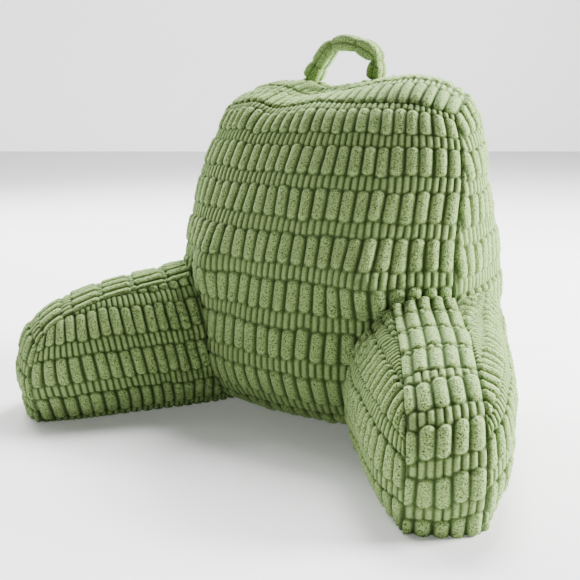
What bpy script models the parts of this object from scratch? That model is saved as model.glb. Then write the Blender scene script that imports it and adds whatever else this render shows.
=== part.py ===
"""Reading pillow: a filled backrest with two filled arms and a carrying loop, in ribbed plush.

Blender 4.5 script, metres, +Z up. The front faces -Y and the pillow rests on the plane z = 0.
Every cut panel is one solid, which carries the filling behind it, so the panels' solids together
are the filled body. Neighbouring panels part along their seams by SEAM_GAP.
The plush has soft ribs, and each rib is a row of plump dashes with lower stretches between them.
"""

from math import cos, pi, radians, sin

import bmesh
import bpy
import numpy as np

SEAM_GAP = 0.0003
FLOOR_MIDDLE_Y = -0.0718

# The plush: ribs of plump dashes.
RIB_HEIGHT = 0.0048
LOW_RIB_HEIGHT = 0.0020
DASH_PERIOD = 0.060
STEPS_PER_DASH = 3

# The backrest. One row for each level, from the floor to the top seams.
BACKREST_COLUMNS = (
    "level", "front_z", "front_half", "front_seam_y", "front_crown",
    "rear_z", "rear_half", "rear_seam_y", "rear_crown",
)
BACKREST_ROWS = (
    (0.00, 0.000, 0.200, 0.000, 0.066, 0.000, 0.190, 0.114, 0.010),
    (0.08, 0.025, 0.208, -0.024, 0.088, 0.019, 0.202, 0.124, 0.014),
    (0.22, 0.093, 0.214, -0.048, 0.095, 0.095, 0.209, 0.132, 0.019),
    (0.45, 0.205, 0.214, -0.045, 0.081, 0.215, 0.201, 0.131, 0.024),
    (0.68, 0.312, 0.206, -0.017, 0.071, 0.322, 0.179, 0.124, 0.024),
    (0.86, 0.386, 0.192, 0.008, 0.056, 0.404, 0.165, 0.122, 0.019),
    (0.95, 0.413, 0.185, 0.015, 0.044, 0.431, 0.156, 0.120, 0.011),
    (1.00, 0.426, 0.179, 0.023, 0.032, 0.453, 0.145, 0.118, 0.009),
)
BACKREST_MIDDLE = (0.0, 0.05, 0.2)
BACKREST_RIBS = 24
SIDE_STRIP_RIBS = 7
STRIP_BULGE = 0.017
# The backrest's top from left to right. The strip's bulge is a share of STRIP_BULGE. The cloth is lowered
# at the corners and between the loop's legs.
TOP_COLUMNS = ("share", "bulge", "lowered")
TOP_ROWS = (
    (0.00, 0.60, 0.007),
    (0.10, 0.60, 0.002),
    (0.17, 0.52, 0.000),
    (0.29, 0.42, 0.009),
    (0.40, 0.28, 0.005),
    (0.50, 0.25, 0.000),
    (0.58, 0.50, 0.000),
    (0.72, 0.95, 0.000),
    (0.84, 1.12, 0.001),
    (0.92, 1.05, 0.006),
    (1.00, 0.80, 0.014),
)
# The levels between which the panels start to follow the lowered top, and follow it fully.
LOWERED_LEVELS = (0.72, 0.95)
# How far from a corner the strips start to lean toward its shared direction: across the top, and up the sides.
CORNER_ACROSS = 0.08
CORNER_UP = 0.08
CORNER_BULGE = 0.7
PANEL_LENGTH = 0.50
TOP_STRIP_LENGTH = 0.11
FRONT_ROUNDING = 0.75
REAR_ROUNDING = 0.6

# The arms, in their own frame: along the arm, across it, and up.
ARM_ROOT = (0.146, 0.002)
ARM_SPLAY = 31.0
ARM_MIDDLE = (0.15, 0.0, 0.08)
ARM_STRIP_HALF = 0.040
ARM_STRIP_CROWN = 0.008
ARM_STRIP_RIBS = 5
ARM_SIDE_RIBS = 24
ARM_STRIP_LENGTH = 0.57
ARM_SIDE_LENGTH = 0.23
TOP_SEAM_SHARE = 0.70
SIDE_BULGE = 0.066
ARM_COLUMNS = ("share", "along", "z")
# The seam line of an arm, from inside the backrest over the top and down the front end.
ARM_ROWS = (
    (0.00, -0.070, 0.262),
    (0.12, -0.010, 0.234),
    (0.24, 0.045, 0.203),
    (0.35, 0.100, 0.182),
    (0.47, 0.165, 0.172),
    (0.59, 0.225, 0.161),
    (0.71, 0.285, 0.138),
    (0.81, 0.318, 0.104),
    (0.91, 0.330, 0.055),
    (1.00, 0.318, 0.000),
)
BULGE_COLUMNS = ("share", "inner", "outer")
# How far an arm's side panels stand out, as shares of SIDE_BULGE: up from the floor to the top seam.
BULGE_UP_ROWS = (
    (0.00, 0.32, 0.46),
    (0.08, 0.56, 0.70),
    (0.22, 0.80, 0.92),
    (0.42, 0.88, 1.06),
    (0.62, 0.76, 1.05),
    (0.80, 0.52, 0.88),
    (0.92, 0.28, 0.58),
    (1.00, 0.00, 0.00),
)
# The same from the backrest to the front end.
BULGE_ALONG_ROWS = (
    (0.00, 0.50, 1.00),
    (0.25, 0.85, 1.00),
    (0.50, 0.95, 0.90),
    (0.75, 0.72, 0.66),
    (0.90, 0.46, 0.40),
    (1.00, 0.00, 0.00),
)

# The carrying loop's strap, from its left root over the top to its right root.
LOOP_COLUMNS = ("x", "y", "z", "half_width", "half_thickness")
LOOP_ROWS = (
    (-0.100, 0.121, 0.4604, 0.009, 0.0080),
    (-0.094, 0.119, 0.468, 0.013, 0.0105),
    (-0.084, 0.116, 0.480, 0.013, 0.0110),
    (-0.070, 0.113, 0.496, 0.012, 0.0085),
    (-0.056, 0.112, 0.508, 0.012, 0.0085),
    (-0.034, 0.112, 0.512, 0.012, 0.0085),
    (-0.014, 0.113, 0.508, 0.013, 0.0100),
    (0.004, 0.114, 0.500, 0.012, 0.0095),
    (0.015, 0.116, 0.489, 0.012, 0.0075),
    (0.013, 0.118, 0.473, 0.011, 0.0090),
    (0.009, 0.121, 0.4598, 0.009, 0.0080),
)
LOOP_SIDES = 10
LOOP_STEPS = 30
STRAP_ROUNDING = 0.8

# The arms stop this far outside the backrest's panels, clear of their ribs.
CLEAR_OF_BACKREST = RIB_HEIGHT + 0.0018

FINE_STEPS = 400
PLUSH_GREEN = (0.36, 0.45, 0.22, 1.0)
PLUSH_ROUGHNESS = 0.95


def smooth_curve(knots, values, at):
    """A cubic through the knots that doesn't overshoot."""
    knots = np.asarray(knots, float)
    values = np.asarray(values, float)
    at = np.clip(np.asarray(at, float), knots[0], knots[-1])
    gaps = np.diff(knots)
    slopes = np.diff(values) / gaps
    tangents = np.zeros(len(knots))
    tangents[0] = slopes[0]
    tangents[-1] = slopes[-1]
    for i in range(1, len(knots) - 1):
        before, after = slopes[i - 1], slopes[i]
        if before * after > 0:
            low = 2 * gaps[i] + gaps[i - 1]
            high = gaps[i] + 2 * gaps[i - 1]
            tangents[i] = (low + high) / (low / before + high / after)
    i = np.clip(np.searchsorted(knots, at) - 1, 0, len(gaps) - 1)
    t = (at - knots[i]) / gaps[i]
    return (
        (1 + 2 * t) * (1 - t) ** 2 * values[i]
        + t * (1 - t) ** 2 * gaps[i] * tangents[i]
        + t * t * (3 - 2 * t) * values[i + 1]
        + t * t * (t - 1) * gaps[i] * tangents[i + 1]
    )


def column(rows, columns, name, at):
    """A named column of a table, read at the shares in at. The table's first column holds the shares."""
    table = np.array(rows)
    return smooth_curve(table[:, 0], table[:, columns.index(name)], at)


def crowned_section(half, crown, count, rounding):
    """x and the crown's rise across a panel, at even steps along the cloth."""
    x = -np.cos(np.linspace(0, pi, FINE_STEPS))
    rise = (1 - x * x) ** rounding
    steps = np.hypot(np.diff(x) * half, np.diff(rise) * crown)
    along = np.concatenate([[0], np.cumsum(steps)])
    even = np.interp(np.linspace(0, along[-1], count), along, x)
    return even * half, np.clip(1 - even * even, 0, 1) ** rounding * crown


def backrest_face(side, columns, rows):
    """Points of the front or rear panel: rows from the floor to the top seam, columns from left to right."""
    facing, rounding = (-1, FRONT_ROUNDING) if side == "front" else (1, REAR_ROUNDING)
    lowered = column(TOP_ROWS, TOP_COLUMNS, "lowered", np.linspace(0, 1, columns))
    start, full = LOWERED_LEVELS
    points = np.zeros((rows, columns, 3))
    for j, level in enumerate(np.linspace(0, 1, rows)):
        half, seam_y, crown, z = (
            float(column(BACKREST_ROWS, BACKREST_COLUMNS, f"{side}_{name}", level))
            for name in ("half", "seam_y", "crown", "z")
        )
        x, rise = crowned_section(half, crown, columns, rounding)
        follows = np.clip((level - start) / (full - start), 0, 1) ** 1.5
        points[j] = np.stack([x, seam_y + facing * rise, z - lowered * follows], axis=1)
    return points


def lined_up(edge, count):
    """A seam line with more points, all of them on the same straight pieces."""
    have = np.linspace(0, 1, len(edge))
    want = np.linspace(0, 1, count)
    return np.stack([np.interp(want, have, edge[:, k]) for k in range(3)], axis=1)


def ruled(edge, other, steps=2):
    """A sheet of straight lines between two lines of points."""
    share = np.linspace(0, 1, steps)[None, :, None]
    return edge[:, None] * (1 - share) + other[:, None] * share


def straight_across(line):
    """The straight line between a seam line's ends, with a point beside each of the seam's."""
    share = (line[:, :1] - line[0, 0]) / (line[-1, 0] - line[0, 0])
    return line[0] * (1 - share) + line[-1] * share


def bulged(front_edge, rear_edge, steps, outward):
    """A backrest strip's cloth between two seam lines: a row for each point of the seams."""
    share = np.linspace(0, 1, steps)[None, :, None]
    bulge = STRIP_BULGE * (4 * share * (1 - share)) ** 0.7
    return ruled(front_edge, rear_edge, steps) + bulge * outward[:, None]


def outward_of(front_edge, rear_edge):
    """Unit vectors away from the backrest's middle along a strip between a front and a rear seam."""
    middle = (front_edge + rear_edge) / 2
    normal = np.cross(np.gradient(middle, axis=0), rear_edge - front_edge)
    normal /= np.linalg.norm(normal, axis=1)[:, None]
    return normal * np.sign(((middle - BACKREST_MIDDLE) * normal).sum(axis=1))[:, None]


def leaning(outward, corner, from_corner):
    """Turns directions toward a corner's shared one as from_corner goes from 1 down to 0."""
    share = np.clip(1 - from_corner, 0, 1)[:, None] ** 1.5
    return outward * (1 - share) + corner * share


def strip_directions(front, rear):
    """How the top strip stands out along its seams, and the left and right side strips along theirs."""
    across, up = np.linspace(0, 1, front.shape[1]), np.linspace(0, 1, front.shape[0])
    top = outward_of(front[-1], rear[-1]) * column(TOP_ROWS, TOP_COLUMNS, "bulge", across)[:, None]
    sides = []
    for edge, from_corner in ((0, across), (-1, 1 - across)):
        side = outward_of(front[:, edge], lined_up(rear[:, edge], len(front)))
        both = side[-1] + top[edge]
        corner = CORNER_BULGE * both / np.linalg.norm(both)
        sides.append(leaning(side, corner, (1 - up) / CORNER_UP))
        top = leaning(top, corner, from_corner / CORNER_ACROSS)
    return top, sides


def arm_place(along, across, z, side):
    """From an arm's own frame to the pillow's. side is 1 for the arm at +X and -1 for the other."""
    turn = radians(ARM_SPLAY)
    x = ARM_ROOT[0] + along * sin(turn) + across * cos(turn)
    y = ARM_ROOT[1] - along * cos(turn) + across * sin(turn)
    x, y, z = np.broadcast_arrays(x, y, z)
    return np.stack([side * x, y, z], axis=-1)


def arm_seam(share):
    """along and z of an arm's seam line, at shares of its length."""
    fine = np.linspace(0, 1, FINE_STEPS)
    along = column(ARM_ROWS, ARM_COLUMNS, "along", fine)
    z = column(ARM_ROWS, ARM_COLUMNS, "z", fine)
    length = np.concatenate([[0], np.cumsum(np.hypot(np.diff(along), np.diff(z)))])
    at = np.asarray(share) * length[-1]
    return np.interp(at, length, along), np.interp(at, length, z)


def arm_strip(columns, rows, side):
    """The strip that runs along the top of an arm and down its front end, the seam lines under it,
    and the lines on the floor below those."""
    along, z = arm_seam(np.linspace(0, 1, rows))
    step_along, step_z = np.gradient(along), np.gradient(z)
    length = np.hypot(step_along, step_z)
    share = np.linspace(-1, 1, columns)
    across = share * (ARM_STRIP_HALF - SEAM_GAP / 2)
    crown = ARM_STRIP_CROWN * (1 - share**2) ** 0.8
    out_along = along[:, None] - (step_z / length)[:, None] * crown
    out_z = np.maximum(z[:, None] + (step_along / length)[:, None] * crown, 0)
    low_along = np.minimum(along, along[-1])
    return (
        arm_place(out_along, across, out_z, side),
        arm_place(along[:, None], across, z[:, None], side),
        arm_place(low_along[:, None], across, 0.0, side),
    )


def arm_side(outer, columns, rows, side):
    """A side panel: columns from the backrest to the front end, rows from the floor to the top seam.
    Also the flat sheet behind it, along which it parts from the strip."""
    p, q = np.meshgrid(np.linspace(0, 1, columns), np.linspace(0, 1, rows))
    top = arm_seam(p * TOP_SEAM_SHARE)
    front = arm_seam(1 - q * (1 - TOP_SEAM_SHARE))
    start, corner, end = arm_seam(0), arm_seam(TOP_SEAM_SHARE), arm_seam(1)
    low = (start[0], end[0]), (0.0, 0.0)
    sheet = [
        (1 - q) * (low[k][0] * (1 - p) + low[k][1] * p)
        + q * top[k]
        + (1 - p) * (low[k][0] * (1 - q) + start[k] * q)
        + p * front[k]
        - (1 - p) * (1 - q) * low[k][0]
        - p * (1 - q) * low[k][1]
        - (1 - p) * q * start[k]
        - p * q * corner[k]
        for k in range(2)
    ]
    label, out = ("outer", 1) if outer else ("inner", -1)
    up = column(BULGE_UP_ROWS, BULGE_COLUMNS, label, q)
    away = column(BULGE_ALONG_ROWS, BULGE_COLUMNS, label, p)
    inset = ARM_STRIP_HALF + SEAM_GAP / 2
    across = out * (inset + SIDE_BULGE * up * away)
    return (
        arm_place(sheet[0], across, sheet[1], side),
        arm_place(sheet[0], np.full_like(across, out * inset), sheet[1], side),
    )


def ribbed(points, inside, ribs_follow_rows=False, dashed=True):
    """Raises the ribs: a valley and a crest in turn across them, and flat along every seam."""
    normal = np.cross(np.gradient(points, axis=0), np.gradient(points, axis=1))
    normal /= np.maximum(np.linalg.norm(normal, axis=2), 1e-9)[..., None]
    if ((points - np.array(inside)) * normal).sum() < 0:
        normal = -normal
    rows, columns = points.shape[:2]
    across, along = np.meshgrid(np.arange(columns), np.arange(rows))
    if ribs_follow_rows:
        across, along = along, across
    low = dashed & (along % STEPS_PER_DASH == 0)
    height = np.where(low, LOW_RIB_HEIGHT, RIB_HEIGHT) * (across % 2)
    height[0] = height[-1] = 0
    height[:, 0] = height[:, -1] = 0
    return points + normal * height[..., None]


def steps_for(length):
    """Mesh steps along a rib of this length, a whole number of dashes."""
    return STEPS_PER_DASH * round(length / DASH_PERIOD)


def closed_solid(name, sheets, collection, shift=(0, 0, 0)):
    """One closed solid of sheets of points that meet at their edges."""
    mesh = bmesh.new()
    for points in sheets:
        rows, columns = points.shape[:2]
        made = bmesh.ops.create_grid(mesh, x_segments=columns - 1, y_segments=rows - 1, size=1)
        for vertex, point in zip(made["verts"], points.reshape(-1, 3)):
            vertex.co = point
    bmesh.ops.remove_doubles(mesh, verts=mesh.verts[:], dist=0.00002)
    bmesh.ops.dissolve_degenerate(mesh, edges=mesh.edges[:], dist=0.00002)
    open_edges = [edge for edge in mesh.edges if edge.is_boundary]
    bmesh.ops.holes_fill(mesh, edges=open_edges, sides=0)
    bmesh.ops.triangulate(mesh, faces=mesh.faces[:])
    bmesh.ops.recalc_face_normals(mesh, faces=mesh.faces[:])
    data = bpy.data.meshes.new(name)
    mesh.to_mesh(data)
    mesh.free()
    data.shade_smooth()
    data.materials.append(plush_material(name))
    solid = bpy.data.objects.new(name, data)
    solid.location = (shift[0], shift[1] - FLOOR_MIDDLE_Y, shift[2])
    collection.objects.link(solid)
    return solid


def build_backrest(collection):
    """The front and rear panels, the two side strips and the top strip."""
    rows = steps_for(PANEL_LENGTH)
    across = 2 * BACKREST_RIBS + 1
    front = backrest_face("front", across, rows + 1)
    rear = backrest_face("rear", across, rows // STEPS_PER_DASH + 1)
    for name, face, shift, dashed in (("front", front, -SEAM_GAP, True), ("rear", rear, SEAM_GAP, False)):
        sheets = [
            ribbed(face, BACKREST_MIDDLE, dashed=dashed),
            ruled(face[:-1, 0], face[:-1, -1], 3),
            ruled(face[-1], straight_across(face[-1])),
        ]
        closed_solid(f"backrest_{name}_panel", sheets, collection, (0, shift, 0))
    top_outward, side_outward = strip_directions(front, rear)
    in_front = (front[:, 0] + front[:, -1]) / 2
    behind = lined_up((rear[:, 0] + rear[:, -1]) / 2, rows + 1)
    for name, edge, side in (("left", 0, -1), ("right", -1, 1)):
        front_edge = front[:, edge]
        rear_edge = lined_up(rear[:, edge], rows + 1)
        cloth = bulged(front_edge, rear_edge, 2 * SIDE_STRIP_RIBS + 1, side_outward[edge])
        cloth[0, :, 2] = 0
        lid = ruled(front_edge[-1:], rear_edge[-1:], cloth.shape[1])[0]
        lid_middle = ruled(in_front[-1:], behind[-1:], cloth.shape[1])[0]
        sheets = [
            ribbed(cloth, BACKREST_MIDDLE),
            ruled(front_edge, in_front),
            ruled(rear_edge, behind),
            ruled(in_front, behind),
            ruled(lid, lid_middle),
            ruled(lid, cloth[-1]),
        ]
        closed_solid(f"backrest_{name}_side_strip", sheets, collection, (side * SEAM_GAP, 0, 0))
    steps = steps_for(TOP_STRIP_LENGTH) + 1
    cloth = bulged(front[-1], rear[-1], steps, top_outward)
    front_chord, rear_chord = straight_across(front[-1]), straight_across(rear[-1])
    sheets = [
        ribbed(cloth, BACKREST_MIDDLE),
        ruled(front[-1], front_chord),
        ruled(front_chord, rear_chord),
        ruled(rear_chord, rear[-1]),
        ruled(ruled(front[-1, :1], rear[-1, :1], steps)[0], cloth[0]),
        ruled(ruled(front[-1, -1:], rear[-1, -1:], steps)[0], cloth[-1]),
    ]
    closed_solid("backrest_top_strip", sheets, collection, (0, 0, SEAM_GAP))


def backrest_cutter(collection):
    """The backrest's outer form, grown clear of its ribs. It cuts the arms to length."""
    rows = steps_for(PANEL_LENGTH) + 1
    front = backrest_face("front", BACKREST_RIBS + 1, rows)
    rear = backrest_face("rear", BACKREST_RIBS + 1, rows)
    top_outward, side_outward = strip_directions(front, rear)
    sheets = [front, rear]
    for edge in (0, -1):
        side = bulged(front[:, edge], rear[:, edge], 2 * SIDE_STRIP_RIBS + 1, side_outward[edge])
        side[0, :, 2] = 0
        sheets.append(side)
    sheets.append(bulged(front[-1], rear[-1], 2 * SIDE_STRIP_RIBS + 1, top_outward))
    cutter = closed_solid("backrest_cutter", sheets, collection)
    cutter.display_type = "WIRE"
    grown = cutter.modifiers.new("clear_of_ribs", "DISPLACE")
    grown.strength = CLEAR_OF_BACKREST
    grown.mid_level = 0
    return cutter


def cut_by(solid, cutter):
    cut = solid.modifiers.new("cut_to_backrest", "BOOLEAN")
    cut.operation = "DIFFERENCE"
    cut.solver = "EXACT"
    cut.object = cutter


def build_arm(name, side, collection, cutter):
    """An arm's strip and its inner and outer side panels."""
    inside = arm_place(*ARM_MIDDLE, side)
    cloth, seams, low = arm_strip(2 * ARM_STRIP_RIBS + 1, steps_for(ARM_STRIP_LENGTH) + 1, side)
    sheets = [
        ribbed(cloth, inside),
        ruled(seams[:, 0], low[:, 0]),
        ruled(seams[:, -1], low[:, -1]),
        np.stack([low[:, 0], low[:, -1]], axis=1),
        np.stack([cloth[0], seams[0]]),
        np.stack([seams[0], low[0]]),
        np.stack([cloth[-1], seams[-1]]),
    ]
    solids = [closed_solid(f"{name}_arm_strip", sheets, collection)]
    for label, outer in (("inner", False), ("outer", True)):
        columns, rows = 2 * ARM_SIDE_RIBS + 1, steps_for(ARM_SIDE_LENGTH) + 1
        cloth, sheet = arm_side(outer, columns, rows, side)
        sheets = [
            ribbed(cloth, inside),
            np.stack([cloth[0], sheet[0]]),
            ruled(cloth[:, 0], sheet[:, 0]),
        ]
        solids.append(closed_solid(f"{name}_arm_{label}_panel", sheets, collection))
    for solid in solids:
        cut_by(solid, cutter)


def build_loop(collection):
    """The strap, whose section is a rounded band that lies along its path."""
    at = np.linspace(0, 1, LOOP_STEPS)
    share = np.linspace(0, 1, len(LOOP_ROWS))
    table = dict(zip(LOOP_COLUMNS, np.array(LOOP_ROWS).T))
    values = {name: smooth_curve(share, table[name], at) for name in LOOP_COLUMNS}
    path = np.stack([values["x"], values["y"], values["z"]], axis=1)
    ahead = np.gradient(path, axis=0)
    ahead /= np.linalg.norm(ahead, axis=1)[:, None]
    wide = np.array([0.0, 1.0, 0.0]) - ahead * ahead[:, 1:2]
    wide /= np.linalg.norm(wide, axis=1)[:, None]
    thick = np.cross(ahead, wide)
    turn = np.linspace(0, 2 * pi, LOOP_SIDES + 1)
    across, up = (np.sign(wave) * np.abs(wave) ** STRAP_ROUNDING for wave in (np.cos(turn), np.sin(turn)))
    skin = (
        path[:, None]
        + wide[:, None] * (values["half_width"][:, None] * across)[..., None]
        + thick[:, None] * (values["half_thickness"][:, None] * up)[..., None]
    )
    closed_solid("carrying_loop", [skin], collection)


def plush_material(name):
    material = bpy.data.materials.new(f"{name}_plush")
    material.use_nodes = True
    shader = material.node_tree.nodes["Principled BSDF"]
    shader.inputs["Base Color"].default_value = PLUSH_GREEN
    shader.inputs["Roughness"].default_value = PLUSH_ROUGHNESS
    shader.inputs["Metallic"].default_value = 0.0
    return material


def new_collection(name, hidden=False):
    collection = bpy.data.collections.new(name)
    collection.hide_render = hidden
    bpy.context.scene.collection.children.link(collection)
    return collection


def main():
    for obj in list(bpy.data.objects):
        bpy.data.objects.remove(obj)
    pillow = new_collection("reading_pillow")
    cutter = backrest_cutter(new_collection("cutters", hidden=True))
    build_backrest(pillow)
    build_arm("left", -1, pillow, cutter)
    build_arm("right", 1, pillow, cutter)
    build_loop(pillow)


main()
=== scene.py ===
from math import cos, pi, radians, sin

import bmesh
import bpy
import numpy as np
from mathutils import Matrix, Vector
from mathutils.bvhtree import BVHTree


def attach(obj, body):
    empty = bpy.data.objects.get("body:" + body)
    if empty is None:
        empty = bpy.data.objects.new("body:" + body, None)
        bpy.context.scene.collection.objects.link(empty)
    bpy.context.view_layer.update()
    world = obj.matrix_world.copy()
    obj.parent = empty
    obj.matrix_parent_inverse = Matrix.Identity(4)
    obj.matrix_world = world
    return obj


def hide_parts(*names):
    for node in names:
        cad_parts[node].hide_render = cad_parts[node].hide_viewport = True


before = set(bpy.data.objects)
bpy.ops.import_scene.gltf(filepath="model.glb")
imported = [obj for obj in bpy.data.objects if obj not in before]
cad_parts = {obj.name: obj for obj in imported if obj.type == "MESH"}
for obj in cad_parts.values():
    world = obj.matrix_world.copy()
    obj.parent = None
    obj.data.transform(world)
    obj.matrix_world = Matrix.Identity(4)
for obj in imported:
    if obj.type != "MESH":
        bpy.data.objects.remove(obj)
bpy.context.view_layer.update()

# Lengths are in metres.
SEAM_GAP = 0.0003
# From the backrest's own origin to the middle of the pillow's footprint.
FLOOR_MIDDLE_Y = -0.0718

# The plush. A rib is a row of plump pills, and two thin ribs run between one pill and the next.
# Widths are shares of the pitch from rib to rib.
PILL_HEIGHT = 0.0062
PILL_HALF_WIDTH = 0.455
THIN_RIB_HEIGHT = 0.0041
THIN_RIB_HALF_WIDTH = 0.24
THIN_RIB_OFFSET = 0.25
# How much of the thin ribs' height is left beside a pill, and the length over which they rise beyond it.
BESIDE_PILL = 0.2
THIN_RIB_START = 0.004
# The length from pill to pill, and the pill's share of it.
DASH_PERIOD = 0.0610
PILL_SHARE = 0.70
# How far a pill's round end reaches along it, as a share of its half width.
PILL_END = 0.8
# How much single pills vary, as shares of their own size, and how far they are out of place.
WIDTH_VARIES = 0.03
LENGTH_VARIES = 0.025
HEIGHT_VARIES = 0.08
ASIDE_VARIES = 0.0004
AHEAD_VARIES = 0.0010
# How far the ribs wander, in ribs, and over what length.
RIB_WANDER = 0.07
WANDER_LUMP = 0.045
# How far in from its edge a pill or thin rib is shaded by its neighbours, as a share of its half width.
PILL_SHADOW = 0.34
THIN_RIB_SHADOW = 0.60
THIN_RIB_LIGHT = 0.88
# Where in from its edge a pill's pile starts to look looped, and over what part it gets there.
LOOPED_FROM = 0.18
LOOPED_OVER = 0.2
# The fuzz on the pile: its height and the size of its lumps.
FUZZ = 0.00035
FUZZ_LUMP = 0.0026
# The least and the greatest pitch that a rib is shaped for.
RIB_PITCHES = (0.010, 0.026)
LEAST_PILE = 0.0002
# The pile reaches its full height this far from a seam, and the painted shade at the seam lifts over the same
# length.
SEAM_PINCH = 0.0022

# Where the cloth is crumpled its ribs break up into beads, and its folds stand up.
BEAD_LENGTH = 0.015
BEAD_WANDER = 1.1
BEAD_LUMP = 0.016
CREASE_WIDTH = 1.6
# Creases sink by this share of the pile's height and are darkened by the same share with painted shade.
CREASE_DEPTH = 0.75
FOLD_HEIGHT = 0.0045
FOLD_LUMP = 0.024
FOLD_FROM_SEAM = 0.012

# The filling's soft lumps, as waves: radians a metre in x, y and z, the phase and the depth.
LUMPS = (
    ((31, 17, 23), 0.4, 0.0009),
    ((-19, 38, 29), 2.1, 0.0008),
    ((47, -26, -33), 4.0, 0.0006),
    ((62, 41, -58), 1.2, 0.0004),
)
# The lumps fade out below this height, so that the underside stays flat.
LUMPS_START = 0.03

# Mesh points for each rib, and along the cloth.
POINTS_A_RIB = 12
ARM_POINTS_A_RIB = 11
BACKREST_POINTS_UP = 264
SIDE_STRIP_POINTS = 84
TOP_STRIP_POINTS = 72
ARM_STRIP_POINTS = (300, 61)
ARM_SIDE_POINTS_UP = 154

# The backrest. One row for each level, from the floor to the top seams.
BACKREST_COLUMNS = (
    "level", "front_z", "front_half", "front_seam_y", "front_crown",
    "rear_z", "rear_half", "rear_seam_y", "rear_crown",
)
BACKREST_ROWS = (
    (0.00, 0.000, 0.200, 0.000, 0.066, 0.000, 0.190, 0.114, 0.010),
    (0.08, 0.025, 0.208, -0.024, 0.088, 0.019, 0.202, 0.124, 0.014),
    (0.22, 0.093, 0.214, -0.048, 0.095, 0.095, 0.209, 0.132, 0.019),
    (0.45, 0.205, 0.214, -0.045, 0.081, 0.215, 0.201, 0.131, 0.024),
    (0.68, 0.312, 0.206, -0.017, 0.071, 0.322, 0.179, 0.124, 0.024),
    (0.86, 0.386, 0.192, 0.008, 0.056, 0.404, 0.165, 0.122, 0.019),
    (0.95, 0.413, 0.185, 0.015, 0.044, 0.431, 0.156, 0.120, 0.011),
    (1.00, 0.426, 0.179, 0.023, 0.032, 0.453, 0.145, 0.118, 0.009),
)
BACKREST_MIDDLE = (0.0, 0.05, 0.2)
BACKREST_RIBS = 24
RIB_PITCH = 0.0195
# The first pills start this far below the top seams.
FIRST_PILL = 0.015
# The first row of pills below the top seams is this much shorter, and so is the thin part below it.
FIRST_ROW_SHORTER = 0.005
STRIP_BULGE = 0.017
STRIP_ROUNDING = 0.7
TOP_COLUMNS = ("share", "bulge", "lowered")
TOP_ROWS = (
    (0.00, 0.60, 0.007),
    (0.10, 0.60, 0.002),
    (0.17, 0.52, 0.000),
    (0.29, 0.42, 0.009),
    (0.40, 0.28, 0.005),
    (0.50, 0.25, 0.000),
    (0.58, 0.50, 0.000),
    (0.72, 0.95, 0.000),
    (0.84, 1.12, 0.001),
    (0.92, 1.05, 0.006),
    (1.00, 0.80, 0.014),
)
# The levels between which the panels start to follow the lowered top, and follow it fully.
LOWERED_LEVELS = (0.72, 0.95)
# How far from a corner the strips start to lean toward its shared direction, as shares of the top's width
# and of the sides' height.
CORNER_ACROSS = 0.08
CORNER_UP = 0.08
CORNER_BULGE = 0.7
FRONT_ROUNDING = 0.75
REAR_ROUNDING = 0.6
# The bunch of filling in the front panel beside each arm: where, how wide and high, and how deep.
BUNCH_PLACE = (0.126, 0.208)
BUNCH_SIZE = (0.036, 0.040)
BUNCH_DEPTH = 0.019
# Only cloth in front of this y is pushed.
BUNCH_BEHIND = 0.02
# Where the front panel's cloth is crumpled beside each arm, and how far around that place.
CRUMPLE_PLACE = (0.158, 0.19)
CRUMPLE_REACH = 0.06

# The arms, in their own frame: along the arm, across it, and up.
ARM_ROOT = (0.146, 0.002)
ARM_SPLAY = 31.0
ARM_MIDDLE = (0.15, 0.0, 0.08)
ARM_STRIP_HALF = 0.040
ARM_STRIP_CROWN = 0.008
ARM_STRIP_RIBS = 4.6
ARM_SIDE_RIBS = 28
ARM_STRIP_DASH_PERIOD = 0.049
ARM_SIDE_DASH_PERIOD = 0.057
# The floor cuts this much off the strip's lowest pills.
ARM_STRIP_CUT_PILL = 0.007
# A side's first pills start this far below its seam.
FIRST_ARM_SIDE_PILL = 0.017
# How far a row of pills climbs from the middle of an arm's strip to its outer seam.
ARM_ROW_CLIMB = 0.008
TOP_SEAM_SHARE = 0.78
# How far a side panel's ribs are nearer to the backrest at the floor than at the seam, as a share of its
# length.
RIB_LEAN = 0.08
SIDE_BULGE = 0.066
# The strip's pills take up this much more of their length over the arm's top, which ends at this share of it.
LONGER_ON_TOP = 0.2
TOP_OF_ARM = 0.70
LONGER_FADE = 0.1
# The shares of the strip and of a side at which the crumpled cloth beside the backrest ends.
STRIP_CRUMPLE_END = 0.52
SIDE_CRUMPLE_END = 0.35
SIDE_CRUMPLE = 0.7
CRUMPLE_FADE = 0.3
# How far along the arms the backrest can reach.
STRIP_IN_BACKREST = 0.6
SIDE_IN_BACKREST = 0.9
ARM_COLUMNS = ("share", "along", "z")
ARM_ROWS = (
    (0.00, -0.070, 0.262),
    (0.12, -0.010, 0.234),
    (0.24, 0.045, 0.203),
    (0.35, 0.100, 0.182),
    (0.47, 0.165, 0.172),
    (0.59, 0.225, 0.161),
    (0.71, 0.285, 0.138),
    (0.81, 0.318, 0.104),
    (0.91, 0.330, 0.055),
    (1.00, 0.318, 0.000),
)
BULGE_COLUMNS = ("share", "inner", "outer")
BULGE_UP_ROWS = (
    (0.00, 0.32, 0.46),
    (0.08, 0.56, 0.70),
    (0.22, 0.80, 0.92),
    (0.42, 0.88, 1.06),
    (0.62, 0.76, 1.05),
    (0.80, 0.52, 0.88),
    (0.92, 0.28, 0.58),
    (1.00, 0.00, 0.00),
)
BULGE_ALONG_ROWS = (
    (0.00, 0.50, 1.00),
    (0.25, 0.85, 1.00),
    (0.50, 0.95, 0.90),
    (0.75, 0.72, 0.66),
    (0.90, 0.46, 0.40),
    (1.00, 0.00, 0.00),
)
# How far the arms' cloth stays off the backrest's form, which leaves room for the backrest's pile.
CLEAR_OF_BACKREST = 0.0060

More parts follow.
